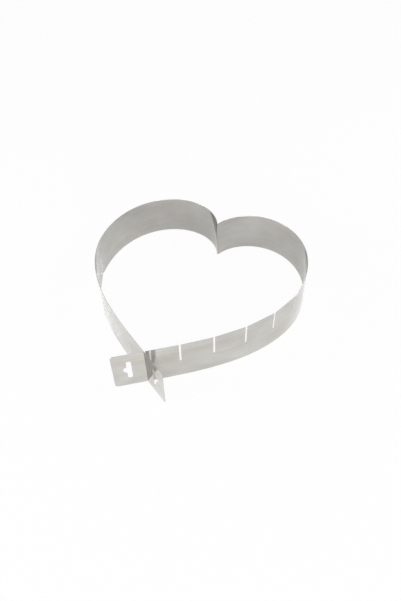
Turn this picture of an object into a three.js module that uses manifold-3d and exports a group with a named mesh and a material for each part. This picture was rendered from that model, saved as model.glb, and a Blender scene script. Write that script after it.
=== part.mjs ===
// Adjustable heart-shaped cake ring: two spring steel bands on edge, lapped at the cleft of the heart
// and hooked into each other's slots at its point. Millimetres, +Z up, the cleft towards +Y.
import * as THREE from 'three';
import { mergeVertices, toCreasedNormals } from 'three/addons/utils/BufferGeometryUtils.js';
import Module from 'manifold-3d';

// Band stock
const bandHeight = 60;
const bandThickness = 0.5;

// Slots, counted from the tab: the engaged one sets the size of the heart
const slotCount = 6;
const slotPitch = 44;
const slotPlay = 1.9;
const slotPastMiddle = 1;
const engagedSlot = 0;

// Band on either side of its slots: the tab up to the first, the plain stretch from the last to the fold
const tabLength = 42.5;
const plainLength = 263.5;

// Tab corners, and the hang hole: a bar across the tab with a bump towards the tab's end
const tabCornerRadius = 4;
const hangBarLength = 32;
const hangBarWidth = 6.2;
const hangBarCornerRadius = 2.4;
const hangBumpWidth = 11;
const hangBumpDepth = 4.8;

// Fold at the cleft: the angle between its walls, its radius at mid-thickness and the lap beyond it
const foldAngle = THREE.MathUtils.degToRad(47.2);
const foldRadius = 0.75;
const lapLength = 14;

// Spring of the band: the slotted stretch gives more than the plain one, and the lobe has a rolled
// set that fades away from the fold
const slottedGive = 1.42;
const lobeSetRadius = 106;
const lobeSetReach = 89;

// Tongues between the slots: their free edge leaves out this share of the arm's bend
const tongueSpring = 0.8;

// Room between faces that touch on the real ring
const seatGap = 0.3;

// Facets
const stationStep = 4;
const wallRows = 4;
const foldFacets = 10;
const arcFacets = 6;
const creaseAngle = THREE.MathUtils.degToRad(30);

const springLength = plainLength + (slotCount - 1 - engagedSlot) * slotPitch;
const slottedLength = (slotCount - 0.5 - engagedSlot) * slotPitch;
const tailLength = tabLength + engagedSlot * slotPitch;
const slotWidth = bandThickness + slotPlay;
const slotDepth = bandHeight / 2 + slotPastMiddle;
const cutterReach = 4 * slotWidth;
const halfFold = foldAngle / 2;

const wasm = await Module();
wasm.setup();

// A place on a band's middle line in plan. Its heading is measured from +Y towards +X.
function station(x, y, heading) {
  return { x, y, heading };
}

function mirrored({ x, y, heading }) {
  return station(-x, y, -heading);
}

function offset({ x, y, heading }, sideways) {
  return new THREE.Vector2(x + sideways * Math.cos(heading), y - sideways * Math.sin(heading));
}

// The place at a distance along a line that starts at the crossing, and behind it on the straight tail
function placeAt(line, along) {
  const position = Math.max(0, along / springLength) * (line.length - 1);
  const index = Math.min(Math.floor(position), line.length - 2);
  const from = line[index];
  const to = line[index + 1];
  const blend = position - index;
  const behind = Math.min(0, along);
  return station(
    THREE.MathUtils.lerp(from.x, to.x, blend) + behind * Math.sin(from.heading),
    THREE.MathUtils.lerp(from.y, to.y, blend) + behind * Math.cos(from.heading),
    THREE.MathUtils.lerp(from.heading, to.heading, blend),
  );
}

// Middle line of a sprung band from the crossing to the fold. The bands push each other apart across
// the heart, so a band's curvature grows with its distance from the crossing along Y.
function sprungLine(armHeading, push) {
  const steps = Math.ceil(springLength / stationStep);
  const step = springLength / steps;
  const line = [station(0, 0, armHeading)];
  for (let i = 0; i < steps; i += 1) {
    const { x, y, heading } = line[i];
    const along = (i + 0.5) * step;
    const give = along < slottedLength ? slottedGive : 1;
    const set = Math.exp((along - springLength) / lobeSetReach) / lobeSetRadius;
    const curvature = give * push * (y + 0.5 * step * Math.cos(heading)) + set;
    const chordHeading = heading - 0.5 * step * curvature;
    line.push(station(
      x + step * Math.sin(chordHeading),
      y + step * Math.cos(chordHeading),
      heading - step * curvature,
    ));
  }
  return line;
}

// Newton's method finds the arm's heading and the push at which the band reaches the fold: its end
// lies endRadius from the fold's centre, which is on the axis of the heart, and runs along the wall.
function closedLine(endRadius) {
  const endX = endRadius * Math.cos(halfFold);
  const endHeading = halfFold - Math.PI;
  const lineFor = (arm, load) => sprungLine(arm, load / springLength ** 2);
  const missFor = (arm, load) => {
    const end = lineFor(arm, load).at(-1);
    return new THREE.Vector2((end.x - endX) / springLength, end.heading - endHeading);
  };
  const firstArm = 1;
  const firstLoad = 7.5;
  const nudge = 1e-5;
  const rounds = 20;
  let arm = firstArm;
  let load = firstLoad;
  for (let i = 0; i < rounds; i += 1) {
    const miss = missFor(arm, load);
    const armSlope = missFor(arm + nudge, load).sub(miss).divideScalar(nudge);
    const loadSlope = missFor(arm, load + nudge).sub(miss).divideScalar(nudge);
    const area = armSlope.cross(loadSlope);
    arm -= miss.cross(loadSlope) / area;
    load -= armSlope.cross(miss) / area;
  }
  return lineFor(arm, load);
}

// How far the free edge stands off a place of the line, on the outside of the bend. A tongue between
// two slots stays nearly flat: its middle keeps to the line, and its ends spring away from it.
function tongueLift(line, index, engagedAt) {
  const step = springLength / (line.length - 1);
  const pastCrossing = index * step - engagedAt;
  if (pastCrossing < 0 || pastCrossing > slottedLength) return 0;
  const fromMiddle = pastCrossing % slotPitch - slotPitch / 2;
  const turn = line[index - 1].heading - line[index + 1].heading;
  return tongueSpring * turn / (2 * step) * fromMiddle ** 2 / 2;
}

// A thin wall standing on the plane z = 0: a flat blank in rows of facets, laid along its places. The
// lift of each place grows from nothing at the slots' ends to its full size at the edge they open to.
function wallGeometry(places, lifts, slotsOpenUpwards) {
  const steps = places.length - 1;
  const wall = new THREE.BoxGeometry(steps, bandThickness, bandHeight, steps, 1, wallRows);
  wall.translate(steps / 2, 0, bandHeight / 2);
  const points = wall.getAttribute('position');
  for (let i = 0; i < points.count; i += 1) {
    const index = Math.round(points.getX(i));
    const height = points.getZ(i);
    const fromOpenEdge = slotsOpenUpwards ? bandHeight - height : height;
    const share = Math.max(0, 1 - fromOpenEdge / slotDepth) ** 2;
    const { x, y } = offset(places[index], share * lifts[index] - points.getY(i));
    points.setXYZ(i, x, y, height);
  }
  return wall;
}

// A punch through the band: its outline is drawn along the band and upwards
function punchGeometry(outline) {
  const punch = new THREE.ExtrudeGeometry(outline, {
    depth: cutterReach,
    bevelEnabled: false,
    curveSegments: arcFacets,
  });
  return punch.translate(0, 0, -cutterReach / 2).rotateX(Math.PI / 2);
}

// A slot that opens downwards from the band's lower edge
function slotOutline() {
  const outline = new THREE.Shape();
  outline.moveTo(-slotWidth / 2, -slotWidth);
  outline.lineTo(slotWidth / 2, -slotWidth);
  outline.lineTo(slotWidth / 2, slotDepth);
  outline.lineTo(-slotWidth / 2, slotDepth);
  return outline;
}

// What rounding takes off the lower corner of the tab, whose end is at 0 and whose band runs to +X
function cornerOutline() {
  const radius = tabCornerRadius;
  const outline = new THREE.Shape();
  outline.moveTo(-radius, -radius);
  outline.lineTo(radius, -radius);
  outline.absarc(radius, radius, radius, -Math.PI / 2, -Math.PI, true);
  outline.lineTo(-radius, radius);
  return outline;
}

// The hang hole round the middle of its bar, with the bump at -X
function hangHoleOutline() {
  const radius = hangBarCornerRadius;
  const edge = hangBarWidth / 2;
  const end = hangBarLength / 2;
  const bumpRadius = (hangBumpWidth ** 2 / 4 + hangBumpDepth ** 2) / (2 * hangBumpDepth);
  const bumpCentre = -edge - hangBumpDepth + bumpRadius;
  const bumpTurn = Math.atan2(hangBumpWidth / 2, -edge - bumpCentre);
  const outline = new THREE.Shape();
  outline.moveTo(edge, radius - end);
  outline.absarc(edge - radius, end - radius, radius, 0, Math.PI / 2);
  outline.absarc(radius - edge, end - radius, radius, Math.PI / 2, Math.PI);
  outline.absarc(bumpCentre, 0, bumpRadius, bumpTurn, 2 * Math.PI - bumpTurn);
  outline.absarc(radius - edge, radius - end, radius, Math.PI, 1.5 * Math.PI);
  outline.absarc(edge - radius, radius - end, radius, 1.5 * Math.PI, 2 * Math.PI);
  return outline;
}

function solidOf(geometry) {
  const bare = geometry.clone();
  bare.deleteAttribute('normal');
  bare.deleteAttribute('uv');
  const merged = mergeVertices(bare);
  const vertProperties = new Float32Array(merged.getAttribute('position').array);
  const triVerts = new Uint32Array(merged.getIndex().array);
  return new wasm.Manifold(new wasm.Mesh({ numProp: 3, vertProperties, triVerts }));
}

function geometryOf(solid) {
  const { vertProperties, triVerts } = solid.getMesh();
  const geometry = new THREE.BufferGeometry();
  geometry.setAttribute('position', new THREE.BufferAttribute(vertProperties, 3));
  geometry.setIndex(new THREE.BufferAttribute(triVerts, 1));
  return toCreasedNormals(geometry, creaseAngle);
}

// Stands a punch on a place of the band, its own +X along the band towards the fold
function stood(punch, place, height) {
  return punch.clone().rotateZ(Math.PI / 2 - place.heading).translate(place.x, place.y, height);
}

const slotPunch = punchGeometry(slotOutline());
const cornerPunch = punchGeometry(cornerOutline());
const hangHolePunch = punchGeometry(hangHoleOutline());

// Turns a punch for the lower edge into one for the upper edge
function forUpperEdge(punch) {
  return punch.clone().rotateX(Math.PI);
}

// One band: a wall along its line with its slots, rounded tab corners and hang hole punched through.
// The spring pulls the bands apart until each rests on the tab side of the other's slot, so the slots
// lie a little towards the fold from the crossing.
function bandMesh(name, line, linePastFold, slotsOpenUpwards, colour) {
  const armHeading = Math.abs(line[0].heading);
  const crossingWidth = bandThickness * (1 - Math.cos(2 * armHeading)) / Math.sin(2 * armHeading);
  const engagedAt = (slotWidth - crossingWidth) / 2 - seatGap;
  const tabEnd = placeAt(line, engagedAt - tailLength);
  const tabMiddle = placeAt(line, engagedAt - tailLength + tabLength / 2);
  const punches = [
    stood(hangHolePunch, tabMiddle, bandHeight / 2),
    stood(cornerPunch, tabEnd, 0),
    stood(forUpperEdge(cornerPunch), tabEnd, bandHeight),
  ];
  for (let i = 0; i < slotCount; i += 1) {
    const place = placeAt(line, engagedAt + (i - engagedSlot) * slotPitch);
    punches.push(slotsOpenUpwards
      ? stood(forUpperEdge(slotPunch), place, bandHeight)
      : stood(slotPunch, place, 0));
  }
  const places = [tabEnd, ...line, ...linePastFold];
  const lifts = places.map((_, i) => tongueLift(line, i - 1, engagedAt));
  const wall = solidOf(wallGeometry(places, lifts, slotsOpenUpwards));
  const band = punches.reduce((solid, punch) => solid.subtract(solidOf(punch)), wall);
  const material = new THREE.MeshStandardMaterial({ color: colour, roughness: 0.25, metalness: 1 });
  const mesh = new THREE.Mesh(geometryOf(band), material);
  mesh.name = name;
  return mesh;
}

// The left band turns round the fold and laps the right band on the side away from the heart's inside
function lapPath(line) {
  const end = line.at(-1);
  const centreY = end.y + foldRadius * Math.sin(halfFold);
  const path = [];
  for (let i = 1; i < foldFacets; i += 1) {
    const heading = THREE.MathUtils.lerp(Math.PI - halfFold, halfFold, i / foldFacets);
    path.push(station(foldRadius * Math.cos(heading), centreY - foldRadius * Math.sin(heading), heading));
  }
  const lapFacets = Math.ceil(lapLength / stationStep);
  for (let i = 0; i <= lapFacets; i += 1) {
    const { x, y, heading } = placeAt(line, springLength - lapLength * i / lapFacets);
    path.push(station(x, y, heading + Math.PI));
  }
  return path;
}

const rightLine = closedLine(foldRadius + bandThickness + seatGap);
const foldedLine = closedLine(foldRadius);

const ring = new THREE.Group();
ring.add(bandMesh('right_band', rightLine, [], true, '#c6c5c1'));
ring.add(bandMesh('left_band', foldedLine.map(mirrored), lapPath(foldedLine), false, '#cbcac6'));

// The origin is on the ground, under the middle of the ring
const middle = new THREE.Box3().setFromObject(ring, true).getCenter(new THREE.Vector3());
ring.position.set(-middle.x, -middle.y, 0);

export default ring;
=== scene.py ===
# %% [markdown]
# # A heart-shaped cake ring that can be set to several sizes
# The ring is two strips of bright spring steel standing on edge. At the cleft of the heart they are
# lapped, and at its point each one hooks into a slot of the other. A workshop cuts such a strip flat,
# punches its slots and its hang hole, breaks the sharp edges, and only then bends it. This lesson
# goes the same way, because every one of those steps is simple on a flat blank and hard on a bent one.

# %% Frame
import math

import bmesh
import bpy
import numpy as np
from mathutils import Matrix, Vector


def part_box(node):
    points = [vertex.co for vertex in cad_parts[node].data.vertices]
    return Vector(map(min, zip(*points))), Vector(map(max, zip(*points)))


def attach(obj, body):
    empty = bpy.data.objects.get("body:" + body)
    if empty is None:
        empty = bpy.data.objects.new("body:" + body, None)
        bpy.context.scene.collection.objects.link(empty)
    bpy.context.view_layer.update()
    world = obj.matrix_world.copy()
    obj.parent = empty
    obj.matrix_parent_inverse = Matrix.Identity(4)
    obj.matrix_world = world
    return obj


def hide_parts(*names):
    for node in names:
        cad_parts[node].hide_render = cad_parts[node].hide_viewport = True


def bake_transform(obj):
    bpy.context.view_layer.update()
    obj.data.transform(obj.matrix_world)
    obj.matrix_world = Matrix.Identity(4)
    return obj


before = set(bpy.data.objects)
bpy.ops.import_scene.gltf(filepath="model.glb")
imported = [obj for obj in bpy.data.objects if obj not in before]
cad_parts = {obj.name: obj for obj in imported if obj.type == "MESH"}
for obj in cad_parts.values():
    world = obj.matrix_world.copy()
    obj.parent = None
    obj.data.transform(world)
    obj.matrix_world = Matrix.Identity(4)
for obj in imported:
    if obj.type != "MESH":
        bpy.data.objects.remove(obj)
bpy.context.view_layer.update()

# %% [markdown]
# ## Measures
# The sizes below drive everything else. They are the ones the solid model was made from: the band
# stock, the row of slots, the tab with its hang hole, and the fold at the cleft. Blender works in
# metres, so each size is written in millimetres and multiplied by one factor.

# %% Measures of the strip
MM = 0.001

band_height = 60 * MM
band_thickness = 0.5 * MM
tab_length = 42.5 * MM
slot_count = 6
slot_pitch = 44 * MM
slot_width = 2.4 * MM
slot_depth = 31 * MM
plain_length = 263.5 * MM
seat_gap = 0.3 * MM

spring_length = plain_length + (slot_count - 1) * slot_pitch
print(f"strip from the crossing to the fold: {spring_length / MM:.1f} mm")

# %% [markdown]
# ## The line of the heart
# Nobody rolls this heart to shape. The strip is straight until its ends are hooked, and then it springs
# into the curve that needs the least bending. Along such a curve the bend grows with the distance
# from the line on which the two halves push each other apart. A curve drawn by eye would look soft
# in the wrong places, so the line is stepped off with that rule instead: each short step is an arc with
# its own curvature. The slotted stretch gives a little more, since half of its height is cut through.

# %% Spring line
line_step = 4 * MM
slotted_give = 1.42
slotted_length = (slot_count - 0.5) * slot_pitch
lobe_set_radius = 106 * MM
lobe_set_reach = 89 * MM


def sprung_line(arm_heading, push):
    """Middle line of a band from the crossing on: rows of x, y and the heading from +Y towards +X."""
    steps = math.ceil(spring_length / line_step)
    step = spring_length / steps
    x, y, heading = 0.0, 0.0, arm_heading
    line = [(x, y, heading)]
    for i in range(steps):
        along = (i + 0.5) * step
        give = slotted_give if along < slotted_length else 1.0
        rolled = math.exp((along - spring_length) / lobe_set_reach) / lobe_set_radius
        curvature = give * push * (y + 0.5 * step * math.cos(heading)) + rolled
        chord_heading = heading - 0.5 * step * curvature
        x += step * math.sin(chord_heading)
        y += step * math.cos(chord_heading)
        heading -= step * curvature
        line.append((x, y, heading))
    return np.array(line)


# %% [markdown]
# Two numbers are unknown: the heading of the arm at the crossing and the push between the halves.
# They are the ones that bring the far end to the fold, on the axis of the heart and along the fold's
# wall. Newton's method finds them in a few rounds.

# %% Closed lines of both halves
half_fold = math.radians(47.2) / 2
fold_radius = 0.75 * MM
first_guess = (1.0, 7.5)
newton_rounds = 12
nudge = 1e-5


def closed_line(end_radius):
    """The sprung line whose end lies end_radius from the fold's centre and runs along its wall."""

    def line_for(arm_heading, load):
        return sprung_line(arm_heading, load / spring_length**2)

    def miss(unknowns):
        end_x, _, end_heading = line_for(*unknowns)[-1]
        off_wall = (end_x - end_radius * math.cos(half_fold)) / spring_length
        return np.array((off_wall, end_heading - (half_fold - math.pi)))

    unknowns = np.array(first_guess)
    for _ in range(newton_rounds):
        here = miss(unknowns)
        slopes = [(miss(unknowns + step) - here) / nudge for step in np.eye(2) * nudge]
        unknowns -= np.linalg.solve(np.transpose(slopes), here)
    return line_for(*unknowns)


right_line = closed_line(fold_radius + band_thickness + seat_gap)
folded_line = closed_line(fold_radius)
arm_heading = right_line[0, 2]
half_width = right_line[:, 0].max()
print(f"arm heading {math.degrees(arm_heading):.2f} degrees, half width {half_width / MM:.1f} mm")

# %% [markdown]
# The strip starts behind the crossing, at the end of its straight tab. At the cleft the left one goes
# on: it turns round the fold and laps the outside of the right one. The end of the right one reaches a
# little way over the nose of the fold, so that from inside the heart no seam shows. Both paths are
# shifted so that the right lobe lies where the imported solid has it.

# %% Paths in plan
lap_length = 14 * MM
end_reach = 0.9 * MM
fold_steps = 24
arc_parts = 4
crossing_width = band_thickness * (1 - math.cos(2 * arm_heading)) / math.sin(2 * arm_heading)
engaged_at = (slot_width - crossing_width) / 2 - seat_gap
tail_length = tab_length - engaged_at

right_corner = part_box("right_band")[1]
crossing = np.array((
    right_corner.x - half_width - band_thickness / 2,
    right_corner.y - right_line[:, 1].max() - band_thickness / 2,
))


def arcs(line):
    """Plan points of a line, with more of them along the arc of each step."""
    start, end = line[:-1, None], line[1:, None]
    part = np.linspace(0, 1, arc_parts, endpoint=False)[:, None]
    chord = np.linalg.norm(end[..., :2] - start[..., :2], axis=2, keepdims=True)
    heading = start[..., 2:] + (end[..., 2:] - start[..., 2:]) * part / 2
    points = start[..., :2] + chord * part * np.concatenate((np.sin(heading), np.cos(heading)), axis=2)
    return np.vstack((points.reshape(-1, 2), line[-1, :2]))


def straight_on(place, distance):
    """The plan point at a distance from a place of a line, along its heading."""
    x, y, heading = place
    return np.array((x + distance * math.sin(heading), y + distance * math.cos(heading)))


def with_tail(line):
    """Plan points of a line with the end of its straight tab in front."""
    return np.vstack((straight_on(line[0], -tail_length), arcs(line)))


def fold_arc(end):
    """Plan points of the nose, from the left wall of the fold round to its right wall."""
    centre_y = end[1] + fold_radius * math.sin(half_fold)
    headings = np.linspace(math.pi - half_fold, half_fold, fold_steps + 1)
    return np.column_stack((
        fold_radius * np.cos(headings),
        centre_y - fold_radius * np.sin(headings),
    ))


folded_points = arcs(folded_line)
lap_steps = round(lap_length / spring_length * (len(folded_points) - 1))
lap_points = folded_points[::-1][:lap_steps + 1]
nose_points = fold_arc(folded_line[-1])
right_end = straight_on(right_line[-1], end_reach)
right_path = np.vstack((with_tail(right_line), right_end)) + crossing
left_half_path = with_tail(folded_line) * (-1, 1)
left_path = np.vstack((left_half_path, nose_points[1:], lap_points[1:])) + crossing


def length_of(path):
    return np.linalg.norm(np.diff(path, axis=0), axis=1).sum()


print(f"strips {length_of(right_path) / MM:.1f} and {length_of(left_path) / MM:.1f} mm long")

# %% [markdown]
# ## The flat blank
# A length of strip is a box, so a cube is stretched to its size, with the tab's end at zero and the
# strip running along X. The two corners of the tab are rounded so that they don't cut the hand: in edit
# mode their edges are picked out by place and bevelled.

# %% Blank with a rounded tab
tab_corner_radius = 4 * MM
corner_segments = 10
nearly_all = 0.99


def block(name, low, high):
    """A cube primitive stretched between two corners, its size in its mesh."""
    bpy.ops.object.select_all(action="DESELECT")
    low, high = Vector(low), Vector(high)
    bpy.ops.mesh.primitive_cube_add(size=1, location=(low + high) / 2, scale=high - low)
    bpy.ops.object.transform_apply(location=True, rotation=True, scale=True)
    made = bpy.context.object
    made.name = made.data.name = name
    return made


def round_edges(piece, radius, segments, wanted):
    """Bevels the edges across the strip whose middle is wanted."""
    bpy.ops.object.mode_set(mode="EDIT")
    bpy.ops.mesh.select_mode(type="EDGE")
    bpy.ops.mesh.select_all(action="DESELECT")
    for edge in bmesh.from_edit_mesh(piece.data).edges:
        start, end = (vertex.co for vertex in edge.verts)
        across = abs((end - start).normalized().y) > nearly_all
        edge.select_set(across and wanted((start + end) / 2))
    bpy.ops.mesh.bevel(offset=radius, segments=segments, affect="EDGES")
    bpy.ops.object.mode_set(mode="OBJECT")


def blank(name, length):
    """A strip along X, its middle plane on y = 0, with the corners of its tab rounded."""
    strip = block(name, (0, -band_thickness / 2, 0), (length, band_thickness / 2, band_height))
    round_edges(strip, tab_corner_radius, corner_segments, lambda middle: middle.x < length / 2)
    print(name, f"{length / MM:.1f} mm,", len(strip.data.polygons), "faces")
    return strip


right_strip = blank("right_band_steel", length_of(right_path))
left_strip = blank("left_band_steel", length_of(left_path))

# %% [markdown]
# ## Slots
# Each strip has a row of six slots that go just past the middle of its height. The first one of each
# strip is hooked into the other, and the rest make the heart smaller. A press punches them square, so
# one block is the punch, an Array modifier repeats it at the slot pitch, and a Boolean takes the whole
# row out at once. The right strip is cut from above, and the left one from below.

# %% Punched slots
punch_reach = 5 * MM


def apply_modifiers(piece):
    bpy.ops.object.select_all(action="DESELECT")
    bpy.context.view_layer.objects.active = piece
    piece.select_set(True)
    for modifier in list(piece.modifiers):
        bpy.ops.object.modifier_apply(modifier=modifier.name)


def punch(strip, tool):
    """Takes the tool's shape out of the strip and puts the tool away."""
    cut = strip.modifiers.new("punch", "BOOLEAN")
    cut.operation = "DIFFERENCE"
    cut.solver = "EXACT"
    cut.object = tool
    apply_modifiers(strip)
    bpy.data.meshes.remove(tool.data)


def slot_row(low, high):
    tool = block("slot_punch", (tab_length - slot_width / 2, -punch_reach, low),
                 (tab_length + slot_width / 2, punch_reach, high))
    row = tool.modifiers.new("row", "ARRAY")
    row.count = slot_count
    row.use_relative_offset = False
    row.use_constant_offset = True
    row.constant_offset_displace = (slot_pitch, 0, 0)
    apply_modifiers(tool)
    return tool


punch(right_strip, slot_row(band_height - slot_depth, band_height + punch_reach))
punch(left_strip, slot_row(-punch_reach, slot_depth))
print("slotted", len(right_strip.data.polygons), len(left_strip.data.polygons), "faces")

# %% [markdown]
# ## Hang hole
# The hole in the tab is the common one for a shop's display hook: a bar with rounded corners and a bump
# in its middle. It takes two punches. The bar is a block with four rounded edges. The bump is a
# cylinder on its side, and edit mode's bisect cuts away the half that would reach past the bar.

# %% Punched hang hole
hang_bar_length = 32 * MM
hang_bar_width = 6.2 * MM
hang_bar_corner_radius = 2.4 * MM
hang_bump_width = 11 * MM
hang_bump_depth = 4.8 * MM
hang_hole_at = tab_length / 2
bump_radius = (hang_bump_width**2 / 4 + hang_bump_depth**2) / (2 * hang_bump_depth)
bump_centre = hang_hole_at - hang_bar_width / 2 - hang_bump_depth + bump_radius
bar_corner_segments = 8
bump_segments = 72


def hang_bar():
    half = Vector((hang_bar_width / 2, punch_reach, hang_bar_length / 2))
    middle = Vector((hang_hole_at, 0, band_height / 2))
    tool = block("hang_bar_punch", middle - half, middle + half)
    round_edges(tool, hang_bar_corner_radius, bar_corner_segments, lambda _: True)
    return tool


def hang_bump():
    bpy.ops.object.select_all(action="DESELECT")
    bpy.ops.mesh.primitive_cylinder_add(
        vertices=bump_segments, radius=bump_radius, depth=2 * punch_reach,
        location=(bump_centre, 0, band_height / 2), rotation=(math.pi / 2, 0, 0),
    )
    bpy.ops.object.transform_apply(location=True, rotation=True, scale=True)
    tool = bpy.context.object
    bpy.ops.object.mode_set(mode="EDIT")
    bpy.ops.mesh.select_all(action="SELECT")
    bpy.ops.mesh.bisect(
        plane_co=(hang_hole_at, 0, 0), plane_no=(1, 0, 0), use_fill=True, clear_outer=True,
    )
    bpy.ops.object.mode_set(mode="OBJECT")
    return tool


for strip in (right_strip, left_strip):
    punch(strip, hang_bar())
    punch(strip, hang_bump())
    print(strip.name, "punched,", len(strip.data.polygons), "faces")

# %% [markdown]
# ## Broken edges
# Shears leave an edge that would cut, so the real strip is tumbled or brushed until the edge is just
# dull. The break is under a tenth of a millimetre. A Bevel modifier limited by angle finds all the
# square edges by itself, in the slots and the holes too.

# %% Edge break
edge_break = 0.06 * MM
break_segments = 2
square_edge = math.radians(50)

for strip in (right_strip, left_strip):
    broken = strip.modifiers.new("edge_break", "BEVEL")
    broken.width = edge_break
    broken.segments = break_segments
    broken.limit_method = "ANGLE"
    broken.angle_limit = square_edge
    apply_modifiers(strip)
    print(strip.name, "edges broken,", len(strip.data.polygons), "faces")

# %% [markdown]
# ## Finishes by place, and the run of the grain
# The rolled faces are bright and the cut edges are dull, so the faces are told apart now, while the
# rolled ones still look straight along Y. The strip was rolled lengthwise, and its grain has to follow
# it round the bends: the flat X and Z are kept as a UV map, in metres.

# %% Rolled faces, cut edges and UV map
ROLLED, CUT = 0, 1
rolled_facing = 0.999

for strip in (right_strip, left_strip):
    mesh = strip.data
    for face in mesh.polygons:
        face.material_index = ROLLED if abs(face.normal.y) > rolled_facing else CUT
    flat = np.array([mesh.vertices[loop.vertex_index].co.xz for loop in mesh.loops])
    run = mesh.uv_layers.new(name="strip")
    run.uv.foreach_set("vector", flat.astype(np.float32).ravel())
    print(strip.name, "grain runs", f"{flat[:, 0].max() / MM:.1f} mm")

# %% [markdown]
# ## Edges to bend at
# A flat face can't bend without edges across it. Bisect cuts one in every two millimetres past the
# crossing, and much closer together where the left strip turns round the nose. The slotted half of the
# height gets a few lengthwise edges too, because it will not bend in the same way as the other half.

# %% Cross cuts and rows
bend_step = 2 * MM
nose_step = 0.1 * MM
tongue_rows = 8
cut_tolerance = 1e-6
ALONG, UP = Vector((1, 0, 0)), Vector((0, 0, 1))


def cut_edges(strip, direction, places):
    """Cuts edges into the strip's faces on planes across a direction."""
    bpy.ops.object.select_all(action="DESELECT")
    bpy.context.view_layer.objects.active = strip
    strip.select_set(True)
    bpy.ops.object.mode_set(mode="EDIT")
    for place in places:
        bpy.ops.mesh.select_all(action="SELECT")
        bpy.ops.mesh.bisect(plane_co=direction * place, plane_no=direction, threshold=cut_tolerance)
    bpy.ops.object.mode_set(mode="OBJECT")
    print(strip.name, len(places), "cuts,", len(strip.data.polygons), "faces")


first_bend = bend_step * math.ceil(tail_length / bend_step)
fold_from = tail_length + spring_length
fold_to = fold_from + length_of(nose_points)
arm_cuts = np.arange(first_bend, fold_from, bend_step)
nose_cuts = np.arange(fold_from, fold_to, nose_step)
lap_cuts = np.arange(fold_to, length_of(left_path), bend_step)
cut_edges(right_strip, ALONG, arm_cuts)
cut_edges(left_strip, ALONG, np.concatenate((arm_cuts, nose_cuts, lap_cuts)))

rows = np.linspace(0, slot_depth, tongue_rows, endpoint=False)[1:]
cut_edges(right_strip, UP, band_height - rows)
cut_edges(left_strip, UP, rows)

# %% [markdown]
# ## Sprung tongues
# At a slot only half of the strip's height is left, so the bend gathers there. The tongues between the
# slots are held along one side only, and they stay nearly flat. That is why the edge of the real ring
# runs from slot to slot like the sides of a polygon where the arm is most curved. The strip is still
# flat here, so a tongue's ends are moved along Y, to the outside of the coming bend. The move grows with
# the square of the distance from the tongue's middle, as a straight line leaves a circle.

# %% Tongues
tongue_spring = 0.8


def spring_tongues(strip, line, open_edge, outward):
    """Moves the tongues along Y by what their free edge leaves out of the line's bend."""
    x, _, z = np.array([vertex.co for vertex in strip.data.vertices]).T
    turn = -np.gradient(line[:, 2], spring_length / (len(line) - 1))
    bend_here = np.interp(x - tail_length, np.linspace(0, spring_length, len(line)), turn)
    past_slot = x - tab_length
    from_middle = past_slot % slot_pitch - slot_pitch / 2
    slotted = (past_slot > 0) & (past_slot < slotted_length)
    lift = tongue_spring * bend_here * from_middle**2 / 2 * slotted
    share = np.clip(1 - abs(z - open_edge) / slot_depth, 0, 1) ** 2
    for vertex, move in zip(strip.data.vertices, outward * lift * share):
        vertex.co.y += move
    print(strip.name, f"tongues spring {(lift * share).max() / MM:.2f} mm")


spring_tongues(right_strip, right_line, band_height, -1)
spring_tongues(left_strip, folded_line, 0, 1)

# %% [markdown]
# ## Bending
# A Curve modifier lays the strip along its path. The path is a poly curve, and it is removed once the
# bend is applied.

# %% Bends
smooth_angle = math.radians(20)


def bend(strip, path):
    guide_curve = bpy.data.curves.new("bend_guide", "CURVE")
    guide_curve.dimensions = "3D"
    guide_curve.twist_mode = "Z_UP"
    spline = guide_curve.splines.new("POLY")
    spline.points.add(len(path) - 1)
    for point, (x, y) in zip(spline.points, path):
        point.co = (x, y, 0, 1)
    guide = bpy.data.objects.new("bend_guide", guide_curve)
    bpy.context.scene.collection.objects.link(guide)
    follow = strip.modifiers.new("bend", "CURVE")
    follow.object = guide
    follow.deform_axis = "POS_X"
    apply_modifiers(strip)
    bpy.ops.object.shade_smooth_by_angle(angle=smooth_angle)
    bpy.data.curves.remove(guide_curve)
    corners = np.array([vertex.co for vertex in strip.data.vertices])
    print(strip.name, "bent, from", corners.min(0) / MM, "to", corners.max(0) / MM)


bend(right_strip, right_path)
bend(left_strip, left_path)

# %% [markdown]
# ## Colours and nodes
# Colours are written as sRGB hex values, as in a paint program, and Blender's sockets want linear
# numbers, so one function turns them over. A second one adds a node, sets it and links it. A Mix node has
# several sockets of the same name, so its colours go by number.

# %% Helpers for materials
COLOUR_A, COLOUR_B, MIXED_COLOUR = 6, 7, 2


def colour(hex_code):
    channels = [int(hex_code[i:i + 2], 16) / 255 for i in (1, 3, 5)]
    linear = [c / 12.92 if c <= 0.04045 else ((c + 0.055) / 1.055) ** 2.4 for c in channels]
    return (*linear, 1.0)


def add(tree, kind, inputs=None, **settings):
    """Adds a node with its settings; an input takes a number or another node's output."""
    made = tree.nodes.new(kind)
    for name, value in settings.items():
        setattr(made, name, value)
    for socket, value in (inputs or {}).items():
        if isinstance(value, bpy.types.NodeSocket):
            tree.links.new(value, made.inputs[socket])
        else:
            made.inputs[socket].default_value = value
    return made


def new_material(name):
    made = bpy.data.materials.new(name)
    made.use_nodes = True
    made.node_tree.nodes.clear()
    return made


# %% [markdown]
# ## Stainless spring steel, cold rolled and bright annealed
# Such strip comes off polished rolls. It mirrors what is near it, a little softened, with a faint grain
# along the strip. To the eye that is a clear grey that takes on whatever it faces: the white floor,
# or the other band. The real grain is a few hundredths of a millimetre wide and would not show, so its
# streaks are drawn well over a millimetre wide. They vary the roughness and the tint, and lift the
# surface a little. Hands and washing leave a thin film in soft patches, a touch warmer and darker than
# clean steel. Its pattern is shifted along the strip so that one patch lies at the top of the left lobe.
# That patch is painted shade, which darkens the top of the lobe.

# %% Steel
streak_length = 90 * MM
streak_width = 1.6 * MM
streak_height = 0.0005 * MM
streak_share = 0.75
film_and_shade_length = 60 * MM
film_and_shade_width = 28 * MM
# Where the patches start puts one of them at the top of the left lobe, as painted shade that darkens it.
film_and_shade_start = 84 * MM

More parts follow.
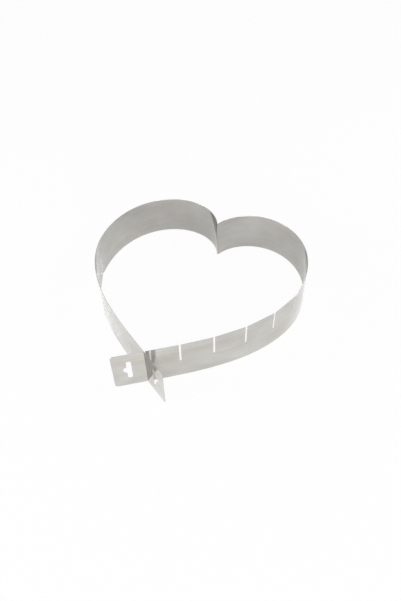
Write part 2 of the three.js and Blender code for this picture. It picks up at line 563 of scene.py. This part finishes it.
steel = new_material("stainless_steel_bright_rolled")
tree = steel.node_tree
strip_uv = add(tree, "ShaderNodeUVMap", uv_map="strip").outputs["UV"]
streak_place = add(tree, "ShaderNodeMapping", {
    "Vector": strip_uv, "Scale": (1 / streak_length, 1 / streak_width, 1),
}).outputs["Vector"]
streaks = add(tree, "ShaderNodeTexNoise", {
    "Vector": streak_place, "Scale": 1.0, "Detail": 3.0, "Roughness": 0.6,
}, noise_dimensions="2D").outputs["Fac"]
film_and_shade_place = add(tree, "ShaderNodeMapping", {
    "Vector": strip_uv, "Scale": (1 / film_and_shade_length, 1 / film_and_shade_width, 1),
    "Location": (film_and_shade_start / film_and_shade_length, 0, 0),
}).outputs["Vector"]
film_and_shade = add(tree, "ShaderNodeTexNoise", {
    "Vector": film_and_shade_place, "Scale": 1.0, "Detail": 4.0, "Roughness": 0.6,
}, noise_dimensions="2D").outputs["Fac"]
streaked = add(tree, "ShaderNodeMapRange", {
    "Value": streaks, "From Min": 0.3, "From Max": 0.7, "To Min": 0.07, "To Max": 0.10,
}).outputs["Result"]
filmed = add(tree, "ShaderNodeMapRange", {
    "Value": film_and_shade, "From Min": 0.3, "From Max": 0.7, "To Min": 0.0, "To Max": 0.02,
}).outputs["Result"]
sheen = add(tree, "ShaderNodeMath", {0: streaked, 1: filmed}, operation="ADD").outputs["Value"]
grain = add(tree, "ShaderNodeBump", {
    "Height": streaks, "Strength": 1.0, "Distance": streak_height,
}).outputs["Normal"]
# The film darkens and warms the tint in soft patches; the patch at the top of the left lobe is painted
# shade.
dimmed = add(tree, "ShaderNodeMath", {
    0: streaks, 1: streak_share, 2: film_and_shade,
}, operation="MULTIPLY_ADD").outputs["Value"]
dimmed_share = add(tree, "ShaderNodeMapRange", {
    "Value": dimmed, "From Min": 0.53, "From Max": 1.22,
}).outputs["Result"]
tint = add(tree, "ShaderNodeMix", {
    "Factor": dimmed_share, COLOUR_A: colour("#BBBBB8"), COLOUR_B: colour("#AEAAA5"),
}, data_type="RGBA").outputs[MIXED_COLOUR]
along = add(tree, "ShaderNodeTangent", direction_type="UV_MAP", uv_map="strip").outputs["Tangent"]
surface = add(tree, "ShaderNodeBsdfPrincipled", {
    "Base Color": tint, "Metallic": 1.0, "Specular Tint": colour("#F2F2F2"), "Roughness": sheen,
    "Normal": grain, "Anisotropic": 0.9, "Anisotropic Rotation": 0.25, "Tangent": along,
})
add(tree, "ShaderNodeOutputMaterial", {"Surface": surface.outputs["BSDF"]})
print(steel.name, len(tree.nodes), "nodes")

# %% [markdown]
# The cut edge of the same steel was sheared and brushed. It is dull, and darker than the rolled face,
# since its fine tears send the light all ways.

# %% Cut edge
tear_size = 0.8 * MM

cut_steel = new_material("stainless_steel_sheared_edge")
tree = cut_steel.node_tree
strip_uv = add(tree, "ShaderNodeUVMap", uv_map="strip").outputs["UV"]
tears = add(tree, "ShaderNodeTexNoise", {
    "Vector": strip_uv, "Scale": 1 / tear_size, "Detail": 2.0,
}, noise_dimensions="2D").outputs["Fac"]
dullness = add(tree, "ShaderNodeMapRange", {
    "Value": tears, "From Min": 0.3, "From Max": 0.7, "To Min": 0.38, "To Max": 0.5,
}).outputs["Result"]
surface = add(tree, "ShaderNodeBsdfPrincipled", {
    "Base Color": colour("#A9A7A3"), "Metallic": 1.0, "Roughness": dullness,
})
add(tree, "ShaderNodeOutputMaterial", {"Surface": surface.outputs["BSDF"]})

for strip in (right_strip, left_strip):
    strip.data.materials.clear()
    strip.data.materials.append(steel)
    strip.data.materials.append(cut_steel)
    print(strip.name, [slot.name for slot in strip.data.materials])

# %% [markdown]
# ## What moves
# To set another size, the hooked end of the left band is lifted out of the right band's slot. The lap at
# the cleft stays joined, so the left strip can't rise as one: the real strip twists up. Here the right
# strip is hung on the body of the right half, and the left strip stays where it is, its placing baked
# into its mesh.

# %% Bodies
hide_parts("right_band")
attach(right_strip, "right_half")

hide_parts("left_band")
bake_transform(left_strip)

# %% [markdown]
# ## Stage
# The picture has a plain white ground. A metal shows its surroundings, so this ground is what gives the
# steel its tone. The floor is a matt white. Rays from the camera see it nearly full white, with a trace
# of the ring's shadow left in it. Rays that come off the steel see the lit floor and an even white glow
# on top of it, or the steel would mirror a floor much darker than the one in the picture.

# %% Floor
floor_size = 12
floor_drop = 0.05 * MM
clear_share = 0.97
mirror_glow = 0.635

bpy.ops.object.select_all(action="DESELECT")
bpy.ops.mesh.primitive_plane_add(size=floor_size, location=(0, 0, -floor_drop))
floor = bpy.context.object
floor.name = "floor"

paper = new_material("matt_white_paper")
tree = paper.node_tree
ray = add(tree, "ShaderNodeLightPath").outputs
clear_white = add(tree, "ShaderNodeMath", {
    0: ray["Is Camera Ray"], 1: clear_share,
}, operation="MULTIPLY").outputs["Value"]
mirrored = add(tree, "ShaderNodeMath", {
    0: ray["Is Glossy Ray"], 1: ray["Is Transmission Ray"],
}, operation="MAXIMUM").outputs["Value"]
glow_strength = add(tree, "ShaderNodeMath", {
    0: mirrored, 1: mirror_glow,
}, operation="MULTIPLY").outputs["Value"]
matt = add(tree, "ShaderNodeBsdfDiffuse", {"Color": colour("#EFEFEE")}).outputs["BSDF"]
white = add(tree, "ShaderNodeEmission", {
    "Color": colour("#FFFFFF"), "Strength": 1.0,
}).outputs["Emission"]
seen = add(tree, "ShaderNodeMixShader", {0: clear_white, 1: matt, 2: white}).outputs["Shader"]
glow = add(tree, "ShaderNodeEmission", {
    "Color": colour("#FFFFFF"), "Strength": glow_strength,
}).outputs["Emission"]
ground = add(tree, "ShaderNodeAddShader", {0: seen, 1: glow}).outputs["Shader"]
add(tree, "ShaderNodeOutputMaterial", {"Surface": ground})
floor.data.materials.append(paper)
print(paper.name, len(tree.nodes), "nodes")

# %% [markdown]
# The room behind is white where the camera sees it, or sees it mirrored in the steel. For every other
# ray it is dark, so it adds no light of its own. A ray that comes off the steel reaches the room with
# depth 2. Deeper rays may not see it, or light would leak to the floor along the foot of the walls.

# %% White room
deepest_seen = 2.5

room = bpy.data.worlds.new("white_room")
bpy.context.scene.world = room
room.use_nodes = True
tree = room.node_tree
tree.nodes.clear()
ray = add(tree, "ShaderNodeLightPath").outputs
mirrored = add(tree, "ShaderNodeMath", {
    0: ray["Is Glossy Ray"], 1: ray["Is Transmission Ray"],
}, operation="MAXIMUM").outputs["Value"]
first_bounce = add(tree, "ShaderNodeMath", {
    0: ray["Ray Depth"], 1: deepest_seen,
}, operation="LESS_THAN").outputs["Value"]
mirrored_once = add(tree, "ShaderNodeMath", {
    0: mirrored, 1: first_bounce,
}, operation="MULTIPLY").outputs["Value"]
seen_white = add(tree, "ShaderNodeMath", {
    0: ray["Is Camera Ray"], 1: mirrored_once,
}, operation="MAXIMUM").outputs["Value"]
light = add(tree, "ShaderNodeBackground", {
    "Color": colour("#FFFFFF"), "Strength": seen_white,
}).outputs["Background"]
add(tree, "ShaderNodeOutputWorld", {"Surface": light})
print(room.name, len(tree.nodes), "nodes")

# %% [markdown]
# Three wide panels give the light: a strong one low at the left, a weaker one low in front, and one
# higher up behind the right lobe. Upright steel, seen from above, mirrors the floor in front of it. The
# low panels leave the floor inside the heart in the shade of the bands, so the lobes look grey there, and
# the arms, whose floor is lit, look bright.

# %% Light
panel_width = 0.9
panel_height = 0.6
panel_distance = 1.3


def out_to(azimuth, elevation):
    """Direction from the ring, from degrees: azimuth 0 is the front, and 90 the right."""
    azimuth, elevation = math.radians(azimuth), math.radians(elevation)
    level = math.cos(elevation)
    return Vector((math.sin(azimuth) * level, -math.cos(azimuth) * level, math.sin(elevation)))


def panel(name, azimuth, elevation, energy):
    """A soft lamp that looks at the ring from a direction, in degrees and watts."""
    lamp = bpy.data.lights.new(name, "AREA")
    lamp.shape = "RECTANGLE"
    lamp.size = panel_width
    lamp.size_y = panel_height
    lamp.energy = energy
    made = bpy.data.objects.new(name, lamp)
    away = out_to(azimuth, elevation)
    made.location = panel_distance * away
    made.rotation_euler = (-away).to_track_quat("-Z", "Y").to_euler()
    bpy.context.scene.collection.objects.link(made)
    print(name, f"{energy} W at", tuple(made.location))


panel("left_panel", azimuth=-60, elevation=12, energy=25.5)
panel("front_panel", azimuth=30, elevation=12, energy=15)
panel("right_panel", azimuth=120, elevation=35, energy=9.3)
bpy.context.scene.view_settings.view_transform = "Standard"

# %% [markdown]
# The camera stands in front, a little to the right, and looks down at about 46 degrees, with a slight
# lean. Its lens and sensor are in millimetres, as Blender wants them.

# %% Camera
camera_azimuth = 22.84
camera_elevation = 46.49
camera_distance = 0.849
camera_roll = math.radians(-1.98)
camera_target = Vector((0.0113, 0.0190, 0))
lens_length = 35.04
sensor_width = 36

camera_data = bpy.data.cameras.new("camera")
camera_data.lens = lens_length
camera_data.sensor_width = sensor_width
camera = bpy.data.objects.new("camera", camera_data)
toward_camera = out_to(camera_azimuth, camera_elevation)
aim = (-toward_camera).to_track_quat("-Z", "Y").to_matrix().to_4x4()
place = Matrix.Translation(camera_target + camera_distance * toward_camera)
camera.matrix_world = place @ aim @ Matrix.Rotation(camera_roll, 4, "Z")
bpy.context.scene.collection.objects.link(camera)
bpy.context.scene.camera = camera
print("camera at", tuple(camera.location))
